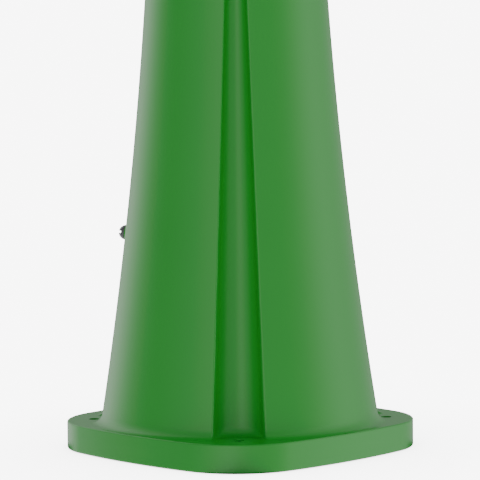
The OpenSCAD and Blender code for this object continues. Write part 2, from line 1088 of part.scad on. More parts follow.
module frame_ring() {
    r_out = diffuser_top_r + 14;
    color(green)
        difference() {
            union() {
                translate([0, 0, ring_z])
                    ring(r_out, diffuser_top_r - 14, ring_h);
                for (side = [-1, 1])
                    translate([0, side * (ear_y + ear_w / 2), 0]) {
                        block([r_out - 6, -ear_w / 2, canopy_axis_z - 6],
                            [canopy_axis_x, ear_w / 2, canopy_axis_z + 6]);
                        translate([canopy_axis_x, 0, canopy_axis_z])
                            rotate([90, 0, 0])
                                cylinder(h = ear_w, r = 6, center = true, $fn = SMOOTH);
                    }
                block([catch_x, -9, ring_z + 8], [-r_out + 6, 9, ring_z + 14]);
                translate([catch_x, 0, ring_z + 8])
                    cylinder(h = 6, r = 9, $fn = SMOOTH);
            }
            strut_rods(strut_r);
            translate([canopy_axis_x, 0, canopy_axis_z])
                rotate([90, 0, 0])
                    cylinder(h = 80, r = canopy_pin_r, center = true, $fn = SMOOTH);
            translate([catch_x, 0, ring_z])
                cylinder(h = 40, r = 4 + run_gap, $fn = SMOOTH);
        }
}

module canopy_pin() {
    color(steel)
        translate([canopy_axis_x, 0, canopy_axis_z])
            rotate([90, 0, 0])
                cylinder(h = 2 * (ear_y + ear_w), r = canopy_pin_r, center = true,
                    $fn = SMOOTH);
}

canopy_z = ring_z + ring_h + 6;
canopy_wall = 4;
reflector_z = ring_z + ring_h + 2;

function dome(r, rise, steps) = [
    for (i = [0:steps])
        [r * cos(90 * i / steps), canopy_z + rise * sin(90 * i / steps)]
];

module canopy() {
    skirt = 14;
    inner_r = canopy_r - canopy_wall;
    color(green)
        difference() {
            union() {
                difference() {
                    rotate_extrude($fn = FINE)
                        polygon(concat([[0, canopy_z - skirt], [canopy_r, canopy_z - skirt]],
                            dome(canopy_r, canopy_rise, 12)));
                    rotate_extrude($fn = FINE)
                        polygon(concat([[0, canopy_z - skirt - 1],
                            [inner_r, canopy_z - skirt - 1]],
                            dome(inner_r, canopy_rise - canopy_wall, 12)));
                }
                hinge_tongue();
            }
            translate([canopy_axis_x, 0, canopy_axis_z])
                rotate([90, 0, 0])
                    cylinder(h = 80, r = canopy_pin_r + run_gap, center = true,
                        $fn = SMOOTH);
        }
}

// The canopy's half of its hinge
module hinge_tongue() {
    half = ear_y - 0.5;
    translate([canopy_axis_x, 0, canopy_axis_z])
        rotate([90, 0, 0])
            cylinder(h = 2 * half, r = 6, center = true, $fn = SMOOTH);
    block([canopy_axis_x - 6, -half, canopy_axis_z], [canopy_axis_x + 6, half, canopy_z + 22]);
}

// Bent plate on the inside of the skirt that the catch holds
module canopy_hook() {
    inner_r = canopy_r - canopy_wall;
    half = 10;
    color(green)
        intersection() {
            union() {
                block([-inner_r - 1, -half, ring_z - 6], [-inner_r + 3, half, canopy_z - 1]);
                block([-inner_r - 1, -half, ring_z - 6], [catch_x - 9.5, half, ring_z - 2]);
            }
            cylinder(h = 2 * canopy_z, r = inner_r, $fn = FINE);
        }
}

module reflector() {
    color(white)
        difference() {
            translate([0, 0, reflector_z])
                cylinder(h = 2, r = 192, $fn = FINE);
        }
    color(white)
        reflector_posts();
}

// Stand-offs between the reflector and the dome
module reflector_posts() {
    for (a = [30:60:330])
        rotate([0, 0, a])
            translate([120, 0, reflector_z + 1])
                cylinder(h = canopy_z + (canopy_rise - canopy_wall) * 0.79 - reflector_z - 1,
                    r = 5, $fn = SMOOTH);
}

module finial() {
    z0 = canopy_z + canopy_rise;
    color(green)
        difference() {
            union() {
                translate([0, 0, z0 - 3])
                    cylinder(h = 9, r = 30, $fn = FINE);
                translate([0, 0, z0 + 5])
                    cylinder(h = 16, r1 = 16, r2 = 11, $fn = FINE);
                translate([0, 0, z0 + 34])
                    sphere(r = 20, $fn = FINE);
            }
            rotate_extrude($fn = FINE)
                polygon(concat([[0, canopy_z]], dome(canopy_r, canopy_rise, 12)));
        }
}

module canopy_catch() {
    z0 = ring_z - 16;
    color(steel)
        translate([catch_x, 0, 0]) {
            translate([0, 0, z0])
                cylinder(h = ring_z + 16 - z0, r = 4, $fn = SMOOTH);
            translate([0, 0, ring_z + 14.3])
                cylinder(h = 2, r = 6, $fn = SMOOTH);
            translate([0, 0, z0])
                cylinder(h = 14, r = 8, $fn = SMOOTH);
            block([-4, 0, ring_z + 2], [4, 13, ring_z + 6]);
        }
}

base_casting();
door_gasket();
hinge_pins();
collar_ring();
shaft();
shaft_bolts();
upper_band();
spigot();
door();
lock_nut();
lock_barrel();
lock_cam();
cam_screw();
gear_board();
board_screws();
terminal_box();
terminal_block();
terminal_screws();
box_cover();
cover_pin();
cover_screw();
cutout_block();
fuse_carrier();
fuse_link();
carrier_blades();
supply_gland();
link_cable();
lamp_gland();
lamp_cable();
earth_stud();
earth_nuts();
fitter();
fitter_screws();
gear_plate();
plate_screws();
surge_module();
lamp_holder();
lamp_cap();
lamp_body();
lamp_globe();
lower_seal();
diffuser();
upper_seal();
frame_ring();
struts();
canopy_pin();
canopy();
canopy_hook();
reflector();
finial();
canopy_catch();
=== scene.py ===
import math

import bmesh
import bpy
from mathutils import Matrix, Vector
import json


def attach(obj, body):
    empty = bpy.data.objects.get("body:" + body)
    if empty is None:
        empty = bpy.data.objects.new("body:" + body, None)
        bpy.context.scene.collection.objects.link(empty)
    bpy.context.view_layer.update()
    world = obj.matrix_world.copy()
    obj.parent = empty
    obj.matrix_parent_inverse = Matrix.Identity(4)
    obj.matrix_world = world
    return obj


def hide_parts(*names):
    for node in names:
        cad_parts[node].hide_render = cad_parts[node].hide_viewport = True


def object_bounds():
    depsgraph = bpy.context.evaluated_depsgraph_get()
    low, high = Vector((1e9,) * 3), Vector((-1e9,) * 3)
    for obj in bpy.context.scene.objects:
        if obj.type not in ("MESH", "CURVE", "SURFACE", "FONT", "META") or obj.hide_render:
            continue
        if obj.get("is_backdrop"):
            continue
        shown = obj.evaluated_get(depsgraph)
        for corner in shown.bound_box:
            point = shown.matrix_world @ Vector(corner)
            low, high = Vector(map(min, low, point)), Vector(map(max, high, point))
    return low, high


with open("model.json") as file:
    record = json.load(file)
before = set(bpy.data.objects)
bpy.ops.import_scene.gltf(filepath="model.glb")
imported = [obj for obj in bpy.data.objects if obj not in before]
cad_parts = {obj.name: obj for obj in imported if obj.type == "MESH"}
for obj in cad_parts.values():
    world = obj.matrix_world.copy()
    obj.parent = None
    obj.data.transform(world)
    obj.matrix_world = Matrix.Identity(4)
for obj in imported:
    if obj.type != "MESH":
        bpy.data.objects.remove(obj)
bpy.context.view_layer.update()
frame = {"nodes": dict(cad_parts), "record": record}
MM = 0.001
AXIS_EPS = 1e-6
PAST = 5.0
CAD_EDGE = 0.35

# ---------------------------------------------------------------- proportions, in millimetres
FLANGE_W = 400.0
FLANGE_CORNER_R = 105.0
FLANGE_BULGE = 5.9
FLANGE_T = 36.0
FLANGE_EDGE_R = 2.2
ANCHOR_SPACING = 276.0
ANCHOR_R = 7.0
ENTRY_R = 60.0
NECK_R = 105.5
FOOT_W = 184.0
FLARE_H = 994.0
NECK_H = 20.0
WALL = 10.0
FLUTE_HALF_W = 31.5
FLUTE_H = 970.0
FLUTE_DEPTH = 0.92
FOOT_FILLET = 12.0
RIM_SOFT = 3.0
DOOR_Z = 148.0
DOOR_H = 270.0
DOOR_ANGLE = 34.4
DOOR_T = 7.0
DOOR_GAP = 1.5
DOOR_CORNER_R = 14.0
HINGE_AZ = 139.2
HINGE_X = 151.0
HINGE_LEAN = 6.8
LOCK_AZ = 210.5
LOCK_HEAD_R = 10.0
LOCK_BOSS_H = 5.5
DOOR_MID_Z = DOOR_Z + DOOR_H / 2
TRUNK_TOP = FLANGE_T + FLARE_H + NECK_H
SHAFT_FOOT_R = 80.0
SHAFT_TOP_R = 60.0
SHAFT_TOP = 3200.0
SHAFT_WALL = 5.0
SOCKET_R = SHAFT_FOOT_R + 0.4
SOCKET_Z = TRUNK_TOP - 120
LEDGE_R = SHAFT_FOOT_R - 14
CAVITY_Z = SOCKET_Z - 25
BOLT_Z = TRUNK_TOP - 14
BOLT_R = 5.0
BOLT_HEAD_R = 8.0
BOLT_ANGLES = (60, 180, 300)
BOLT_END_X = 130.0
COLLAR_H = 50.0
SPIGOT_R = 38.0
SPIGOT_TOP = SHAFT_TOP + 100
FITTER_LOW = SHAFT_TOP + 14
FITTER_TOP = SPIGOT_TOP + 30
FITTER_R = 124.0
GRUB_Z = SHAFT_TOP + 50
GRUB_ANGLES = (0, 120, 240)
PLATE_X = 80.0
DIFFUSER_FOOT_R = 104.0
DIFFUSER_TOP_R = 172.0
DIFFUSER_Z = FITTER_TOP + 6
DIFFUSER_H = 244.0
DIFFUSER_T = 4.0
RING_Z = DIFFUSER_Z + DIFFUSER_H + 6
RING_H = 20.0
RING_R = DIFFUSER_TOP_R + 14
CANOPY_X = 205.0
CANOPY_AXIS_Z = RING_Z + 14
CANOPY_Z = RING_Z + RING_H + 6
CANOPY_R = 220.0
CANOPY_RISE = 92.0
CANOPY_WALL = 4.0
CANOPY_SKIRT = 14.0
CATCH_X = -198.0


def trunk_w(h):
    """Distance from the axis to a flute mouth at height h over the flange."""
    return NECK_R + (FOOT_W - NECK_R) * (1 - min(max(h, 0.0), FLARE_H) / FLARE_H) ** 2


def flute_b(h):
    """Half width of a flute at height h."""
    return FLUTE_HALF_W * max(0.0, 1 - max(h, 0.0) / FLUTE_H)


def lobe_r(h):
    """Radius of the round lobes at height h."""
    return math.hypot(trunk_w(h), flute_b(h))


def soft_min(a, b, k):
    """The smaller of a and b, rounded where they cross."""
    if k <= 0:
        return min(a, b)
    d = max(k - abs(a - b), 0.0) / k
    return min(a, b) - d * d * k * 0.25


def skin_r(angle, h, inset=0.0):
    """Radius of the fluted trunk, inset millimetres under its surface, at an angle in radians."""
    r = lobe_r(h) - inset
    b = flute_b(h)
    off = (angle + math.pi / 4) % (math.pi / 2) - math.pi / 4
    off = math.pi / 4 - abs(off)
    if b < 0.3:
        return r
    cut_r = b * (1 + FLUTE_DEPTH**2) / (2 * FLUTE_DEPTH)
    x = trunk_w(h) - FLUTE_DEPTH * b + cut_r
    cut_r += inset
    side = x * math.sin(off)
    if side >= cut_r:
        floor = x * math.cos(off) + 2.0 * (side - cut_r)
    else:
        floor = x * math.cos(off) - math.sqrt(cut_r**2 - side**2)
    soft = min(RIM_SOFT, 0.22 * b)
    return soft_min(r, floor, soft)


# ---------------------------------------------------------------- mesh helpers


def make_object(name, bm, material, body, replaced=(), sharp=35.0):
    """Turns a bmesh in metres into a smooth-shaded piece that rides on a body."""
    bmesh.ops.recalc_face_normals(bm, faces=bm.faces)
    limit = math.radians(sharp)
    for face in bm.faces:
        face.smooth = True
    for edge in bm.edges:
        if len(edge.link_faces) == 2 and edge.calc_face_angle(0.0) > limit:
            edge.smooth = False
    mesh = bpy.data.meshes.new(name)
    bm.to_mesh(mesh)
    bm.free()
    obj = bpy.data.objects.new(name, mesh)
    bpy.context.scene.collection.objects.link(obj)
    mesh.materials.append(material)
    if body:
        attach(obj, body)
    if replaced:
        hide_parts(*replaced)
    return obj


def add_loops(bm, loops, wrap=False):
    """Skins rings of points (millimetres) that all have the same count."""
    rows = [[bm.verts.new(Vector(p) * MM) for p in ring] for ring in loops]
    n = len(rows[0])
    last = len(rows) if wrap else len(rows) - 1
    for i in range(last):
        low, high = rows[i], rows[(i + 1) % len(rows)]
        for k in range(n):
            bm.faces.new((low[k], low[(k + 1) % n], high[(k + 1) % n], high[k]))
    if not wrap:
        bm.faces.new(rows[0])
        bm.faces.new(rows[-1])


def rounded_profile(points, radius, steps=4):
    """Rounds the corners of a closed (r, z) outline; a point may carry its own radius."""
    out = []
    n = len(points)
    for i in range(n):
        p = Vector(points[i][:2])
        own = points[i][2] if len(points[i]) > 2 else radius
        own = own if p.x > AXIS_EPS else 0.0
        a = (Vector(points[i - 1][:2]) - p)
        b = (Vector(points[(i + 1) % n][:2]) - p)
        if own <= 0 or a.length < AXIS_EPS or b.length < AXIS_EPS:
            out.append((p.x, p.y))
            continue
        ua, ub = a.normalized(), b.normalized()
        turn = math.pi - ua.angle(ub)
        if turn < 0.05:
            out.append((p.x, p.y))
            continue
        cut = min(own * math.tan(turn / 2), 0.45 * a.length, 0.45 * b.length)
        start, end = p + ua * cut, p + ub * cut
        for s in range(steps + 1):
            t = s / steps
            q = start * (1 - t) ** 2 + p * 2 * t * (1 - t) + end * t**2
            out.append((q.x, q.y))
    return out


def turned_bm(points, radius, around=64):
    """A turned closed shape about Z, as a bmesh, from a closed (r, z) outline in millimetres."""
    loops = []
    for r, z in rounded_profile(points, radius):
        ring = []
        for k in range(around):
            t = 2 * math.pi * k / around
            ring.append((max(r, 0.0) * math.cos(t), max(r, 0.0) * math.sin(t), z))
        loops.append(ring)
    bm = bmesh.new()
    add_loops(bm, loops, wrap=True)
    bmesh.ops.remove_doubles(bm, verts=bm.verts, dist=AXIS_EPS)
    return bm


def lathe(name, points, material, body, replaced=(), radius=0.8, around=128):
    """A turned part from a closed (r, z) outline in millimetres."""
    return make_object(name, turned_bm(points, radius, around), material, body, replaced)


def cut(obj, bm_cutter, keep=False):
    """Cuts a closed shape out of obj, or keeps only what is inside it."""
    return combine(obj, bm_cutter, "INTERSECT" if keep else "DIFFERENCE")


def combine(obj, bm_cutter, operation):
    """One exact boolean of obj with a closed bmesh, applied at once."""
    mesh = bpy.data.meshes.new("cutter")
    bmesh.ops.recalc_face_normals(bm_cutter, faces=bm_cutter.faces)
    bm_cutter.to_mesh(mesh)
    bm_cutter.free()
    tool = bpy.data.objects.new("cutter", mesh)
    bpy.context.scene.collection.objects.link(tool)
    mod = obj.modifiers.new("cut", "BOOLEAN")
    mod.operation = operation
    mod.solver = "EXACT"
    mod.object = tool
    bpy.context.view_layer.update()
    graph = bpy.context.evaluated_depsgraph_get()
    done = bpy.data.meshes.new_from_object(obj.evaluated_get(graph))
    obj.modifiers.clear()
    obj.data = done
    bpy.data.objects.remove(tool)
    bpy.data.meshes.remove(mesh)
    return obj


def soften(obj, width=0.4, segments=2, angle=35.0):
    """Breaks the sharp edges of a piece and evens the shading of its flat faces."""
    mod = obj.modifiers.new("edges", "BEVEL")
    mod.width = width * MM
    mod.segments = segments
    mod.limit_method = "ANGLE"
    mod.angle_limit = math.radians(angle)
    shade = obj.modifiers.new("shading", "WEIGHTED_NORMAL")
    shade.keep_sharp = True
    return obj


def join(bm, other):
    """Adds a second bmesh to the first and frees it."""
    mesh = bpy.data.meshes.new("joined")
    bmesh.ops.recalc_face_normals(other, faces=other.faces)
    other.to_mesh(mesh)
    other.free()
    bm.from_mesh(mesh)
    bpy.data.meshes.remove(mesh)
    return bm


def box(low, high):
    """A block between two corners, in millimetres."""
    bm = bmesh.new()
    (x0, y0, z0), (x1, y1, z1) = low, high
    rings = [[(x0, y0, z), (x1, y0, z), (x1, y1, z), (x0, y1, z)] for z in (z0, z1)]
    add_loops(bm, rings)
    return bm


def rod(start, end, r, around=48):
    """A round bar between two points, in millimetres."""
    start, end = Vector(start), Vector(end)
    turn = (end - start).to_track_quat("Z", "Y").to_matrix()
    rings = []
    for centre in (start, end):
        ring = []
        for k in range(around):
            t = 2 * math.pi * k / around
            ring.append(centre + turn @ Vector((r * math.cos(t), r * math.sin(t), 0)))
        rings.append(ring)
    bm = bmesh.new()
    add_loops(bm, rings)
    return bm


def moved(bm, matrix):
    """Places a bmesh by a matrix given in millimetres."""
    matrix = matrix.copy()
    matrix.translation *= MM
    bmesh.ops.transform(bm, matrix=matrix, verts=bm.verts)
    return bm


def turned(bm, degrees):
    """Turns a bmesh about the axis of the post."""
    return moved(bm, Matrix.Rotation(math.radians(degrees), 4, "Z"))


def unite(obj, bm_other):
    """Welds a second closed shape onto obj."""
    return combine(obj, bm_other, "UNION")


# ---------------------------------------------------------------- materials


def principled(name, color, rough, metallic=0.0):
    """A plain finish: the material, its node tree and its main node."""
    mat = bpy.data.materials.new(name)
    mat.use_nodes = True
    node = mat.node_tree.nodes["Principled BSDF"]
    node.inputs["Base Color"].default_value = (*color, 1)
    node.inputs["Roughness"].default_value = rough
    node.inputs["Metallic"].default_value = metallic
    return mat, mat.node_tree, node


def varied(name, color, rough, grain=0.3, scale=900.0, depth=0.02, mottle=0.03, **words):
    """A finish with fine grain in its bump and slow mottling in its colour and gloss."""
    mat, tree, node = principled(name, color, rough, **words)
    place = tree.nodes.new("ShaderNodeTexCoord")
    fine = tree.nodes.new("ShaderNodeTexNoise")
    fine.inputs["Scale"].default_value = scale
    fine.inputs["Detail"].default_value = 3.0
    bump = tree.nodes.new("ShaderNodeBump")
    bump.inputs["Strength"].default_value = grain
    bump.inputs["Distance"].default_value = depth * MM
    slow = tree.nodes.new("ShaderNodeTexNoise")
    slow.inputs["Scale"].default_value = 9.0
    slow.inputs["Detail"].default_value = 2.0
    gloss = tree.nodes.new("ShaderNodeMapRange")
    gloss.inputs["To Min"].default_value = rough - 0.03
    gloss.inputs["To Max"].default_value = rough + 0.03
    tint = tree.nodes.new("ShaderNodeMix")
    tint.data_type = "RGBA"
    low = [c * (1 - mottle) for c in color]
    high = [min(1.0, c * (1 + mottle)) for c in color]
    tint.inputs[6].default_value = (*low, 1)
    tint.inputs[7].default_value = (*high, 1)
    link = tree.links.new
    link(place.outputs["Object"], fine.inputs["Vector"])
    link(place.outputs["Object"], slow.inputs["Vector"])
    link(fine.outputs["Fac"], bump.inputs["Height"])
    link(slow.outputs["Fac"], gloss.inputs["Value"])
    link(slow.outputs["Fac"], tint.inputs["Factor"])
    link(bump.outputs["Normal"], node.inputs["Normal"])
    link(gloss.outputs["Result"], node.inputs["Roughness"])
    link(tint.outputs[2], node.inputs["Base Color"])
    return mat


MATERIALS = {
    "green_paint": varied("green paint", (0.0055, 0.370, 0.0185), 0.34, grain=0.25, scale=1400.0),
    "stainless": varied("stainless", (0.62, 0.63, 0.64), 0.2, metallic=1.0, scale=600.0),
    "zinc_plate": varied("zinc plate", (0.55, 0.56, 0.58), 0.38, metallic=1.0, scale=500.0),
    "brass": varied("brass", (0.72, 0.5, 0.2), 0.3, metallic=1.0, scale=500.0),
    "black_rubber": varied("black rubber", (0.02, 0.02, 0.02), 0.7, depth=0.05),
    "black_plastic": varied("black plastic", (0.025, 0.025, 0.027), 0.45, depth=0.04),
    "grey_plastic": varied("grey plastic", (0.4, 0.41, 0.42), 0.45, depth=0.04),
    "white_plastic": varied("white plastic", (0.8, 0.8, 0.76), 0.3, depth=0.02),
    "board_steel": varied("board paint", (0.55, 0.56, 0.55), 0.4),
    "reflector_white": varied("reflector white", (0.85, 0.85, 0.83), 0.25),
    "opal": varied("opal", (0.9, 0.9, 0.87), 0.3, mottle=0.01),
}
opal_node = MATERIALS["opal"].node_tree.nodes["Principled BSDF"]
opal_node.inputs["Transmission Weight"].default_value = 0.55

GREEN = MATERIALS["green_paint"]
CHROME = varied("dark chrome", (0.16, 0.165, 0.17), 0.16, grain=0.1, scale=1600.0, metallic=1.0)
GREEN.node_tree.nodes["Principled BSDF"].inputs["Specular IOR Level"].default_value = 0.75

for part in frame["record"]["subparts"]:
    node = frame["nodes"][part["node"]]
    node.data.materials.clear()
    node.data.materials.append(MATERIALS[part["material_slot"]])
    weld = node.modifiers.new("weld", "WELD")
    weld.merge_threshold = 1e-6
    soften(node, CAD_EDGE)

# ---------------------------------------------------------------- flange


def flange_outline(inset, count=240):
    """Points round the flange, inset millimetres from its edge."""
    half = FLANGE_W / 2
    arc_r = (half - FLANGE_CORNER_R) ** 2 / (2 * FLANGE_BULGE) + FLANGE_BULGE / 2
    k = half - arc_r
    inner = arc_r - FLANGE_CORNER_R
    c = (k + math.sqrt(2 * inner**2 - k**2)) / 2
    swing = math.atan2(c, c - k)
    points = []
    side_n = count // 8
    for q in range(4):
        turn = q * math.pi / 2
        quarter = []
        for i in range(side_n):
            t = -swing + 2 * swing * i / side_n
            quarter.append((k + (arc_r - inset) * math.cos(t), (arc_r - inset) * math.sin(t)))
        for i in range(side_n):
            t = swing + (math.pi / 2 - 2 * swing) * i / side_n
            r = FLANGE_CORNER_R - inset
            quarter.append((c + r * math.cos(t), c + r * math.sin(t)))
        for x, y in quarter:
            points.append(
                (x * math.cos(turn) - y * math.sin(turn), x * math.sin(turn) + y * math.cos(turn))
            )
    return points


def ring_of(points, z):
    """Lifts a flat outline to height z."""
    return [(x, y, z) for x, y in points]


def build_flange():
    """The base plate with rounded rims, its four holes and the cable entry."""
    steps = 5
    rings = [ring_of(flange_outline(FLANGE_EDGE_R), 0.0)]
    for i in range(steps + 1):
        t = math.pi / 2 * i / steps
        inset = FLANGE_EDGE_R * (1 - math.sin(t))
        z = FLANGE_EDGE_R * (1 - math.cos(t))
        if i:
            rings.append(ring_of(flange_outline(inset), z))
    for i in range(steps + 1):
        t = math.pi / 2 * i / steps
        inset = FLANGE_EDGE_R * (1 - math.cos(t))
        z = FLANGE_T - FLANGE_EDGE_R * (1 - math.sin(t))
        rings.append(ring_of(flange_outline(inset), z))
    bm = bmesh.new()
    add_loops(bm, rings)
    plate = make_object("flange_plate", bm, GREEN, None)
    holes = bmesh.new()
    for x in (-1, 1):
        for y in (-1, 1):
            at_x, at_y = x * ANCHOR_SPACING / 2, y * ANCHOR_SPACING / 2
            join(holes, rod((at_x, at_y, -PAST), (at_x, at_y, FLANGE_T + PAST), ANCHOR_R))
    cut(plate, holes)
    cut(plate, rod((0, 0, -PAST), (0, 0, FLANGE_T + PAST), ENTRY_R, 96))
    soften(plate, 0.5, angle=50.0)
    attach(plate, "post")
    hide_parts("base_casting")
    return plate


flange_plate = build_flange()

# ---------------------------------------------------------------- trunk


def trunk_angles():
    """Angles round the trunk, closer together in and beside the flutes."""
    out = []
    fine, coarse = 0.35, 1.5
    for q in range(4):
        mid = 45 + 90 * q
        a = -45.0
        while a < 45.0 - 1e-6:
            out.append(math.radians(mid + a))
            a += fine if abs(a) < 13.5 else coarse
    return sorted(set(round(v, 9) for v in out))


def foot_swell(h):
    """How far the fillet at the foot stands out at height h."""
    if h >= FOOT_FILLET:
        return 0.0
    return FOOT_FILLET - math.sqrt(FOOT_FILLET**2 - (FOOT_FILLET - h) ** 2)


def trunk_heights():
    """Heights over the flange of the rings of the trunk."""
    out = [FOOT_FILLET * (1 - math.cos(math.radians(90) * i / 10)) for i in range(10)]
    h = FOOT_FILLET
    while h < FLARE_H:
        out.append(h)
        h += 12.0
    out += [FLARE_H, FLARE_H + NECK_H]
    return out


def build_trunk():
    """The fluted trunk with its cavity, door opening, socket and bolt bores."""
    angles = trunk_angles()
    loops = []
    for h in trunk_heights():
        z = FLANGE_T + h
        ring = []
        for a in angles:
            r = skin_r(a, h) + foot_swell(h)
            ring.append((r * math.cos(a), r * math.sin(a), z))
        loops.append(ring)
    socket = ((SOCKET_R, TRUNK_TOP), (SOCKET_R, SOCKET_Z), (LEDGE_R, SOCKET_Z), (LEDGE_R, CAVITY_Z))
    for r, z in socket:
        loops.append([(r * math.cos(a), r * math.sin(a), z) for a in angles])
    inner = []
    h = CAVITY_Z - FLANGE_T
    while h > 3.0:
        inner.append(h)
        h -= 24.0
    inner.append(-1.0)
    for h in inner:
        ring = []
        for a in angles:
            r = skin_r(a, h, WALL)
            ring.append((r * math.cos(a), r * math.sin(a), FLANGE_T + h))
        loops.append(ring)
    bm = bmesh.new()
    add_loops(bm, loops, wrap=True)
    trunk = make_object("trunk", bm, GREEN, None, sharp=55.0)
    cut(trunk, door_prism(DOOR_GAP))
    for start, r in ((SHAFT_FOOT_R - 10, BOLT_R + 0.1), (NECK_R - 7, BOLT_HEAD_R + 0.5)):
        bores = bmesh.new()
        for a in BOLT_ANGLES:
            join(bores, turned(rod((start, 0, BOLT_Z), (BOLT_END_X, 0, BOLT_Z), r), a))
        cut(trunk, bores)
    return trunk


def door_prism(grow, r0=60.0, r1=230.0, steps=8):
    """The space a door takes through the wall: a rounded wedge outline, grown at its edges."""
    half = math.radians(DOOR_ANGLE) + grow / lobe_r(DOOR_MID_Z - FLANGE_T)
    corner = DOOR_CORNER_R + grow
    low, high = DOOR_Z - grow, DOOR_Z + DOOR_H + grow
    outline = []
    centres = ((1, 1, 0), (-1, 1, 90), (-1, -1, 180), (1, -1, 270))
    arc = corner / lobe_r(DOOR_MID_Z - FLANGE_T)
    for sx, sz, start in centres:
        for i in range(steps + 1):
            t = math.radians(start + 90 * i / steps)
            a = sx * (half - arc) + arc * math.cos(t)
            z = (high - corner if sz > 0 else low + corner) + corner * math.sin(t)
            outline.append((a, z))
    dense = []
    n = len(outline)
    for i in range(n):
        a0, z0 = outline[i]
        a1, z1 = outline[(i + 1) % n]
        cuts = max(1, int(abs(a1 - a0) / math.radians(1.5)))
        for k in range(cuts):
            dense.append((a0 + (a1 - a0) * k / cuts, z0 + (z1 - z0) * k / cuts))
    rings = []
    for r in (r0, r1):
        rings.append([(r * math.cos(math.pi + a), r * math.sin(math.pi + a), z) for a, z in dense])
    bm = bmesh.new()
    rows = [[bm.verts.new(Vector(p) * MM) for p in ring] for ring in rings]
    n = len(dense)
    for k in range(n):
        bm.faces.new((rows[0][k], rows[0][(k + 1) % n], rows[1][(k + 1) % n], rows[1][k]))
    for row in rows:
        edges = [bm.edges.get((row[k], row[(k + 1) % n])) for k in range(n)]
        bmesh.ops.triangle_fill(bm, edges=edges, use_beauty=True)
    return bm


trunk = build_trunk()
soften(trunk, 0.7, angle=55.0)
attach(trunk, "post")
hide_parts("base_casting")

# ---------------------------------------------------------------- casting details and door


def hinge_place():
    """Places a piece on the hinge line of the door, z along it."""
    lean = Matrix.Rotation(-math.radians(HINGE_LEAN), 4, "Y")
    out = Matrix.Translation((HINGE_X, 0, DOOR_MID_Z))
    return Matrix.Rotation(math.radians(HINGE_AZ), 4, "Z") @ out @ lean


def lock_place():
    """Places a piece on the axis of the lock, z out of the door."""
    lean = Matrix.Rotation(math.radians(90 - HINGE_LEAN), 4, "Y")
    out = Matrix.Translation((lobe_r(DOOR_MID_Z - FLANGE_T), 0, DOOR_MID_Z))
    return Matrix.Rotation(math.radians(LOCK_AZ), 4, "Z") @ out @ lean


def wall_shell(depth0, depth1, swing=46.0, rise=24.0):
    """The layer of the door lobe's wall between two depths, as a closed block."""
    low, high = DOOR_Z - rise, DOOR_Z + DOOR_H + rise
    rows = 30
    columns = 46
    bm = bmesh.new()
    sheets = []
    for depth in (depth0, depth1):
        sheet = []
        for i in range(rows + 1):
            z = low + (high - low) * i / rows
            r = lobe_r(z - FLANGE_T) - depth
            line = []
            for k in range(columns + 1):
                a = math.radians(180 - swing + 2 * swing * k / columns)
                line.append(bm.verts.new(Vector((r * math.cos(a), r * math.sin(a), z)) * MM))
            sheet.append(line)
        sheets.append(sheet)
    outer, inner = sheets
    for sheet in sheets:
        for i in range(rows):
            for k in range(columns):
                bm.faces.new((sheet[i][k], sheet[i][k + 1], sheet[i + 1][k + 1], sheet[i + 1][k]))
    for i in range(rows):
        for k in (0, columns):
            bm.faces.new((outer[i][k], inner[i][k], inner[i + 1][k], outer[i + 1][k]))
    for k in range(columns):
        for i in (0, rows):
            bm.faces.new((outer[i][k], outer[i][k + 1], inner[i][k + 1], inner[i][k]))
    return bm


LIP_DEPTH = WALL - 1
LIP_T = 5.0
LIP_W = 7.0
LUG_R = 9.0
LUG_Y = 45.0
LUG_FOOT_X = 66.0
LUGS = ((140, 160), (425, 124))
KNUCKLE_H = 14.0
KNUCKLE_R = 7.0
KNUCKLES = (-70.0, 70.0)
STRAP_ROOT = 21.0
STRAP_END = 38.0
STRAP_OUT = 6.5
ARM_REACH = 25.0
KNUCKLE_GAP = 0.4


def paint_piece(name, bm, body, replaced, edge=0.8):
    """A green piece that is ready once its edges are broken."""
    piece = make_object(name, bm, GREEN, body, replaced)
    if edge:
        soften(piece, edge, 3)
    return piece


lip_bm = wall_shell(LIP_DEPTH, LIP_DEPTH + LIP_T)
door_lip = make_object("door_lip", lip_bm, GREEN, "post", ("base_casting",))
cut(door_lip, door_prism(LIP_W / 2), keep=True)
cut(door_lip, door_prism(-LIP_W, r0=50.0))
cut(door_lip, moved(rod((0, 0, -40), (0, 0, 40), LOCK_HEAD_R + 6), lock_place()))
soften(door_lip, 0.6, 2, 50.0)

lug_bm = bmesh.new()
for lug_y in (-LUG_Y, LUG_Y):
    for lug_z, reach in LUGS:
        join(lug_bm, rod((LUG_FOOT_X, lug_y, lug_z), (reach, lug_y, lug_z), LUG_R))
paint_piece("board_lugs", lug_bm, "post", ("base_casting",))

fixed_bm = bmesh.new()
for z in KNUCKLES:
    join(fixed_bm, rod((0, 0, z - KNUCKLE_H), (0, 0, z), KNUCKLE_R))
fixed_bm = moved(fixed_bm, hinge_place())
hinge_knuckles = make_object("hinge_knuckles", fixed_bm, GREEN, "post", ("base_casting",))
arm_bm = bmesh.new()
for z in KNUCKLES:
    join(arm_bm, box((-ARM_REACH, -5, z - KNUCKLE_H), (0, 3, z)))
unite(hinge_knuckles, moved(arm_bm, hinge_place()))
soften(hinge_knuckles, 0.7, 3)

door_panel = make_object("door_panel", wall_shell(0, DOOR_T), GREEN, "door", ("door",))
cut(door_panel, door_prism(0), keep=True)
soften(door_panel, 0.9, 3, 50.0)

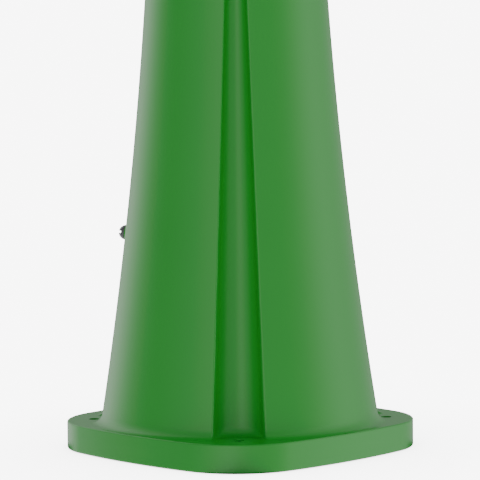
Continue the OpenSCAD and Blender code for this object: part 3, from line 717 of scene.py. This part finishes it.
strap_bm = bmesh.new()
for z in KNUCKLES:
    low, high = z + KNUCKLE_GAP, z + KNUCKLE_GAP + KNUCKLE_H
    join(strap_bm, rod((0, 0, low), (0, 0, high), KNUCKLE_R))
door_straps = make_object("door_straps", moved(strap_bm, hinge_place()), GREEN, "door", ("door",))
for bar_x, bar_y in ((1.5, 0), (-KNUCKLE_R, STRAP_ROOT)):
    bar_bm = bmesh.new()
    for z in KNUCKLES:
        low, high = z + KNUCKLE_GAP, z + KNUCKLE_GAP + KNUCKLE_H
        join(bar_bm, box((bar_x, bar_y, low), (STRAP_OUT, STRAP_END, high)))
    unite(door_straps, moved(bar_bm, hinge_place()))
soften(door_straps, 0.8, 3)


BOSS_R = LOCK_HEAD_R + 1.5
BARREL_R = 4.0
BARREL_BORE = BARREL_R + 0.05
HUB_R = 3.0
LOCK_DEPTH = 39.0
CAM_T = 4.0
SLOT_W = 3.6
SLOT_DEPTH = 5.5
DOME_STEPS = 12

boss_outline = [(BARREL_BORE, -11), (LOCK_HEAD_R, -11), (LOCK_HEAD_R, -6)]
boss_outline += [(BOSS_R + 2.5, -2), (BOSS_R, 1.0, 1.5)]
boss_outline += [(BOSS_R - 0.8, LOCK_BOSS_H, 1.2), (BARREL_BORE, LOCK_BOSS_H, 0.3)]
paint_piece("lock_boss", moved(turned_bm(boss_outline, 0.5), lock_place()), "door", ("door",), edge=0)

head_z = LOCK_BOSS_H + 0.3
slot_top = LOCK_BOSS_H + LOCK_HEAD_R
head_dome = [(0, slot_top)]
for i in range(1, DOME_STEPS + 1):
    t = math.radians(90 * i / DOME_STEPS)
    head_dome.append((LOCK_HEAD_R * math.sin(t), head_z + (LOCK_HEAD_R - 0.3) * math.cos(t)))
lock_outline = [(0, -LOCK_DEPTH), (HUB_R, -LOCK_DEPTH), (HUB_R, CAM_T - LOCK_DEPTH)]
lock_outline += [(BARREL_R, CAM_T - LOCK_DEPTH, 0.4), (BARREL_R, head_z, 0.2)]
lock_outline += head_dome[::-1]
lock_bm = moved(turned_bm(lock_outline, 0.25, 96), lock_place())
lock_head = make_object("lock_head", lock_bm, CHROME, "lock", ("lock_barrel",))
slot_low = (-SLOT_W / 2, -LOCK_HEAD_R - 2, slot_top - SLOT_DEPTH)
slot_high = (SLOT_W / 2, LOCK_HEAD_R + 2, slot_top + 3)
cut(lock_head, moved(box(slot_low, slot_high), lock_place()))
soften(lock_head, 0.35, 3, 40.0)

# ---------------------------------------------------------------- collar, shaft, band and spigot


def green_lathe(name, points, body, replaced, radius=1.0, around=128):
    """A turned part in green paint."""
    piece = lathe(name, points, GREEN, body, replaced, radius, around)
    return piece


def bead(r0, z0, height, proud, steps=12):
    """Points of a half-round bead on an outline."""
    return [
        (r0 + proud * math.sin(math.pi * i / steps), z0 + height * i / steps, 0.0)
        for i in range(steps + 1)
    ]


def shaft_r(z):
    """Outer radius of the tapered shaft at height z."""
    cone_z = TRUNK_TOP + COLLAR_H
    return SHAFT_FOOT_R + (SHAFT_TOP_R - SHAFT_FOOT_R) * max(0.0, (z - cone_z) / (SHAFT_TOP - cone_z))


collar = [(SOCKET_R, TRUNK_TOP, 0.3), (NECK_R + 4, TRUNK_TOP, 1.0)]
collar += bead(NECK_R + 4, TRUNK_TOP + 4, 22, 9)
collar += [(NECK_R - 6, TRUNK_TOP + 30, 3.0), (SHAFT_FOOT_R + 8, TRUNK_TOP + COLLAR_H - 4, 6.0)]
collar += [(SHAFT_FOOT_R + 5, TRUNK_TOP + COLLAR_H, 1.5), (SOCKET_R, TRUNK_TOP + COLLAR_H, 0.5)]
green_lathe("collar", collar, "post", ("collar_ring",))

inner_r = SHAFT_FOOT_R - SHAFT_WALL
tube = [(inner_r, SOCKET_Z), (SHAFT_FOOT_R, SOCKET_Z)]
tube += [(shaft_r(z), z, 0.0) for z in (1100, 1600, 2100, 2600, 3100)]
tube += [(SHAFT_TOP_R, SHAFT_TOP), (SHAFT_TOP_R - SHAFT_WALL, SHAFT_TOP)]
tube += [(inner_r, TRUNK_TOP + COLLAR_H, 0.0)]
green_lathe("shaft_tube", tube, "post", ("shaft",))

band_z = SHAFT_TOP - 70
band_r = shaft_r(band_z) + 0.3
band = [(band_r, band_z)] + bead(band_r + 5, band_z + 0.6, 28.8, 7) + [(band_r, band_z + 30)]
green_lathe("shaft_band", band, "post", ("upper_band",))

plug_r = SHAFT_TOP_R - SHAFT_WALL - 0.3
spigot_bore = SPIGOT_R - 8
spigot = [(spigot_bore, SHAFT_TOP - 50), (plug_r, SHAFT_TOP - 50), (plug_r, SHAFT_TOP, 0.0)]
spigot += [(SHAFT_TOP_R, SHAFT_TOP, 0.5), (SHAFT_TOP_R, SHAFT_TOP + 12, 2.0)]
spigot += [(SPIGOT_R, SHAFT_TOP + 12, 1.0), (SPIGOT_R, SPIGOT_TOP), (spigot_bore, SPIGOT_TOP)]
green_lathe("spigot_tube", spigot, "post", ("spigot",))

# ---------------------------------------------------------------- lantern

cup = [(SPIGOT_R + 0.3, FITTER_LOW), (54, FITTER_LOW, 1.5)]
cup_low = GRUB_Z + 12
cup_rise = FITTER_TOP - 8 - cup_low
for i in range(17):
    t = i / 16
    cup.append((54 + (FITTER_R - 54) * t * t, cup_low + cup_rise * t, 4.0 if i == 0 else 0.0))
cup += [(FITTER_R, FITTER_TOP, 2.0), (106, FITTER_TOP), (100, FITTER_TOP - 6)]
cup += [(62, SPIGOT_TOP + 2), (SPIGOT_R - 6, SPIGOT_TOP + 2), (SPIGOT_R - 6, SPIGOT_TOP)]
cup += [(SPIGOT_R + 0.3, SPIGOT_TOP, 0.0)]
fitter_cup = green_lathe("fitter_cup", cup, "post", ("fitter",))
grub_bm = bmesh.new()
for a in GRUB_ANGLES:
    join(grub_bm, turned(rod((SPIGOT_R - 2, 0, GRUB_Z), (80, 0, GRUB_Z), 4.1), a))
cut(fitter_cup, grub_bm)
post_bm = bmesh.new()
for a in BOLT_ANGLES:
    join(post_bm, turned(rod((PLATE_X, 0, SPIGOT_TOP + 4), (PLATE_X, 0, SPIGOT_TOP + 24), 7), a))
paint_piece("plate_posts", post_bm, "post", ("fitter",), edge=0.6)


def diffuser_r(t):
    """Outer radius of the bowl, from its foot (0) to its top (1)."""
    return DIFFUSER_FOOT_R + (DIFFUSER_TOP_R - DIFFUSER_FOOT_R) * t + 5 * math.sin(math.pi * t)


BOWL_STEPS = 24
bowl = []
for i in range(BOWL_STEPS + 1):
    edge = 0.8 if i in (0, BOWL_STEPS) else 0.0
    bowl.append((diffuser_r(i / BOWL_STEPS), DIFFUSER_Z + DIFFUSER_H * i / BOWL_STEPS, edge))
bowl += [(r - DIFFUSER_T, z, own) for r, z, own in bowl[::-1]]
bowl_piece = lathe("diffuser_bowl", bowl, MATERIALS["opal"], "post", ("diffuser",), 0.0, 160)

ring_outline = [(DIFFUSER_TOP_R - 14, RING_Z), (RING_R, RING_Z, 2.0), (RING_R, RING_Z + RING_H, 3.0)]
ring_outline += [(DIFFUSER_TOP_R - 14, RING_Z + RING_H, 2.0)]
green_lathe("top_ring", ring_outline, "post", ("frame_ring",), 1.0, 160)

EAR_Y = 14.0
EAR_W = 10.0
for side, ear_name in ((-1, "ear_low"), (1, "ear_high")):
    y0 = side * (EAR_Y + EAR_W / 2) - EAR_W / 2
    ear_bm = rod((CANOPY_X, y0, CANOPY_AXIS_Z), (CANOPY_X, y0 + EAR_W, CANOPY_AXIS_Z), 6)
    ear = make_object(ear_name, ear_bm, GREEN, "post", ("frame_ring",))
    arm = box((RING_R - 6, y0, CANOPY_AXIS_Z - 6), (CANOPY_X, y0 + EAR_W, CANOPY_AXIS_Z + 6))
    unite(ear, arm)
    soften(ear, 0.8, 3)

catch_bm = rod((CATCH_X, 0, RING_Z + 8), (CATCH_X, 0, RING_Z + 14), 9)
catch_ear = make_object("catch_ear", catch_bm, GREEN, "post", ("frame_ring",))
unite(catch_ear, box((CATCH_X, -9, RING_Z + 8), (-RING_R + 6, 9, RING_Z + 14)))
cut(catch_ear, rod((CATCH_X, 0, RING_Z), (CATCH_X, 0, RING_Z + 40), 4.05))
soften(catch_ear, 0.6, 3)


def dome_arc(r, rise, steps=24):
    """Points of a quarter ellipse from the rim to the crown."""
    return [
        (r * math.cos(math.pi / 2 * i / steps), CANOPY_Z + rise * math.sin(math.pi / 2 * i / steps), 0.0)
        for i in range(steps + 1)
    ]


canopy_in = CANOPY_R - CANOPY_WALL
roof = [(canopy_in, CANOPY_Z - CANOPY_SKIRT, 1.2), (CANOPY_R, CANOPY_Z - CANOPY_SKIRT, 1.6)]
roof += dome_arc(CANOPY_R, CANOPY_RISE)
roof += dome_arc(canopy_in, CANOPY_RISE - CANOPY_WALL)[::-1]
green_lathe("canopy_roof", roof, "canopy", ("canopy",), 1.0, 192)

tongue_half = EAR_Y - 0.5
tongue_bm = rod((CANOPY_X, -tongue_half, CANOPY_AXIS_Z), (CANOPY_X, tongue_half, CANOPY_AXIS_Z), 6)
tongue = make_object("canopy_tongue", tongue_bm, GREEN, "canopy", ("canopy",))
tongue_low = (CANOPY_X - 6, -tongue_half, CANOPY_AXIS_Z)
unite(tongue, box(tongue_low, (CANOPY_X + 6, tongue_half, CANOPY_Z + 22)))
soften(tongue, 0.8, 3)

top_z = CANOPY_Z + CANOPY_RISE
KNOB_R = 20.0
KNOB_Z = top_z + 34
KNOB_STEPS = 24
knob = [(0, top_z - 2), (30, top_z - 2, 0.5), (30, top_z + 6, 2.5), (17, top_z + 7, 3.0)]
knob += [(11.5, top_z + 19, 4.0)]
for i in range(KNOB_STEPS + 1):
    t = math.radians(-62 + 152 * i / KNOB_STEPS)
    knob.append((KNOB_R * math.cos(t), KNOB_Z + KNOB_R * math.sin(t), 2.0 if i == 0 else 0.0))
green_lathe("finial_knob", knob, "canopy", ("finial",), 1.0, 96)

# ---------------------------------------------------------------- camera

CAM_DISTANCE = 2563.6
CAM_HEIGHT = 406.9
CAM_YAW = 0.54
CAM_PAN = -0.044
CAM_PITCH = -2.968
CAM_ROLL = -0.505
CAM_LENS = 144.7425
SENSOR = 36.0

camera_data = bpy.data.cameras.new("camera")
camera = bpy.data.objects.new("camera", camera_data)
bpy.context.scene.collection.objects.link(camera)
bpy.context.scene.camera = camera


def aim_camera():
    """Stands the camera where the photograph was taken from, aimed as it was."""
    stand = math.radians(45 + CAM_YAW)
    turn = stand + math.radians(CAM_PAN)
    pitch, roll = math.radians(CAM_PITCH), math.radians(CAM_ROLL)
    back = Vector((math.sin(stand), -math.cos(stand), 0))
    right = Vector((math.cos(turn), math.sin(turn), 0))
    ahead = Vector((-math.sin(turn), math.cos(turn), 0))
    up = Vector((0, 0, 1))
    ahead2 = ahead * math.cos(pitch) + up * math.sin(pitch)
    up2 = up * math.cos(pitch) - ahead * math.sin(pitch)
    right3 = right * math.cos(roll) + up2 * math.sin(roll)
    up3 = up2 * math.cos(roll) - right * math.sin(roll)
    basis = Matrix((right3, up3, -ahead2)).transposed()
    place = back * CAM_DISTANCE * MM + Vector((0, 0, CAM_HEIGHT * MM))
    camera.matrix_world = Matrix.Translation(place) @ basis.to_4x4()


camera_data.sensor_width = SENSOR
camera_data.lens = CAM_LENS
camera_data.clip_start = 0.1
camera_data.clip_end = 100
aim_camera()

# ---------------------------------------------------------------- light and floor


# A soft glow: compass direction of its middle, how bright it is and how tightly it is gathered
GLOWS = (
    (45, 1.40, 7.0),
    (100, 0.58, 8.0),
    (135, 0.12, 6.0),
    (182, 1.50, 6.0),
    (262, 0.45, 8.0),
    (303, 1.05, 12.0),
    (348, 0.50, 14.0),
)
GLOW_BASE = 0.065
OVERHEAD = 0.35
BOUNCE = 0.75
TALLNESS = 0.45
BACKDROP = 8.0


def build_world():
    """Tall soft light banks round the object, and a plain white backdrop behind it."""
    world = bpy.data.worlds.new("studio")
    bpy.context.scene.world = world
    world.use_nodes = True
    tree = world.node_tree
    new, link = tree.nodes.new, tree.links.new

    def maths(operation, first, second):
        node = new("ShaderNodeMath")
        node.operation = operation
        for socket, value in zip(node.inputs, (first, second)):
            if isinstance(value, float):
                socket.default_value = value
            else:
                link(value, socket)
        return node.outputs[0]

    def towards(vector, direction):
        node = new("ShaderNodeVectorMath")
        node.operation = "DOT_PRODUCT"
        link(vector, node.inputs[0])
        node.inputs[1].default_value = direction
        return maths("MAXIMUM", node.outputs["Value"], 0.0)

    look = new("ShaderNodeTexCoord").outputs["Generated"]
    tall = new("ShaderNodeVectorMath")
    tall.operation = "MULTIPLY"
    link(look, tall.inputs[0])
    tall.inputs[1].default_value = (1.0, 1.0, TALLNESS)
    around = new("ShaderNodeVectorMath")
    around.operation = "NORMALIZE"
    link(tall.outputs[0], around.inputs[0])

    total = maths("MULTIPLY", maths("POWER", towards(look, (0, 0, 1)), 2.0), OVERHEAD)
    total = maths("ADD", total, maths("MULTIPLY", towards(look, (0, 0, -1)), BOUNCE))
    total = maths("ADD", total, GLOW_BASE)
    for compass, strength, gather in GLOWS:
        a = math.radians(compass)
        facing = towards(around.outputs[0], (math.cos(a), math.sin(a), 0))
        glow = maths("MULTIPLY", maths("POWER", facing, gather), strength)
        total = maths("ADD", total, glow)
    studio = tree.nodes["Background"]
    studio.inputs["Color"].default_value = (1, 1, 1, 1)
    link(total, studio.inputs["Strength"])
    backdrop = new("ShaderNodeBackground")
    backdrop.inputs["Color"].default_value = (1, 1, 1, 1)
    backdrop.inputs["Strength"].default_value = BACKDROP
    path = new("ShaderNodeLightPath")
    mix = new("ShaderNodeMixShader")
    link(path.outputs["Is Camera Ray"], mix.inputs[0])
    link(studio.outputs[0], mix.inputs[1])
    link(backdrop.outputs[0], mix.inputs[2])
    link(mix.outputs[0], tree.nodes["World Output"].inputs["Surface"])


FLOOR_HALF = 12000.0
FLOOR_Z = -0.5
SHADOW_REACH = 0.35
FOOTING_HALF = 190.0
FOOTING_Z = -2.0


def square(half, z):
    """A flat square in millimetres, centred on the post."""
    bm = bmesh.new()
    corners = ((-half, -half), (half, -half), (half, half), (-half, half))
    bm.faces.new([bm.verts.new(Vector((x, y, z)) * MM) for x, y in corners])
    return bm


def build_floor():
    """A plain white glowing floor with a painted contact shadow: its glow darkens a little close to the
    post.
    """
    mat = bpy.data.materials.new("floor")
    mat.use_nodes = True
    tree = mat.node_tree
    tree.nodes.remove(tree.nodes["Principled BSDF"])
    # Painted contact shadow: ambient occlusion dims the floor's emission close to the post, down to 0.35
    # of the backdrop brightness.
    painted_shadow_ao = tree.nodes.new("ShaderNodeAmbientOcclusion")
    painted_shadow_ao.inputs["Distance"].default_value = SHADOW_REACH
    painted_shadow_ao.samples = 16
    level = tree.nodes.new("ShaderNodeMapRange")
    level.inputs["To Min"].default_value = 0.35 * BACKDROP
    level.inputs["To Max"].default_value = BACKDROP
    glow = tree.nodes.new("ShaderNodeEmission")
    tree.links.new(painted_shadow_ao.outputs["AO"], level.inputs["Value"])
    tree.links.new(level.outputs["Result"], glow.inputs["Strength"])
    tree.links.new(glow.outputs[0], tree.nodes["Material Output"].inputs["Surface"])
    floor = make_object("floor", square(FLOOR_HALF, FLOOR_Z), mat, None)
    floor.visible_diffuse = False
    floor.visible_glossy = False
    floor.visible_transmission = False
    floor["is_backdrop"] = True


def build_footing():
    """The dark ground under the flange, unseen: no light comes up through the holes."""
    dark = principled("footing", (0.01, 0.01, 0.01), 0.9)[0]
    footing = make_object("footing", square(FOOTING_HALF, FOOTING_Z), dark, None)
    footing.visible_camera = False
    footing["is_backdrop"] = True


build_world()
build_floor()
build_footing()

low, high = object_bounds()
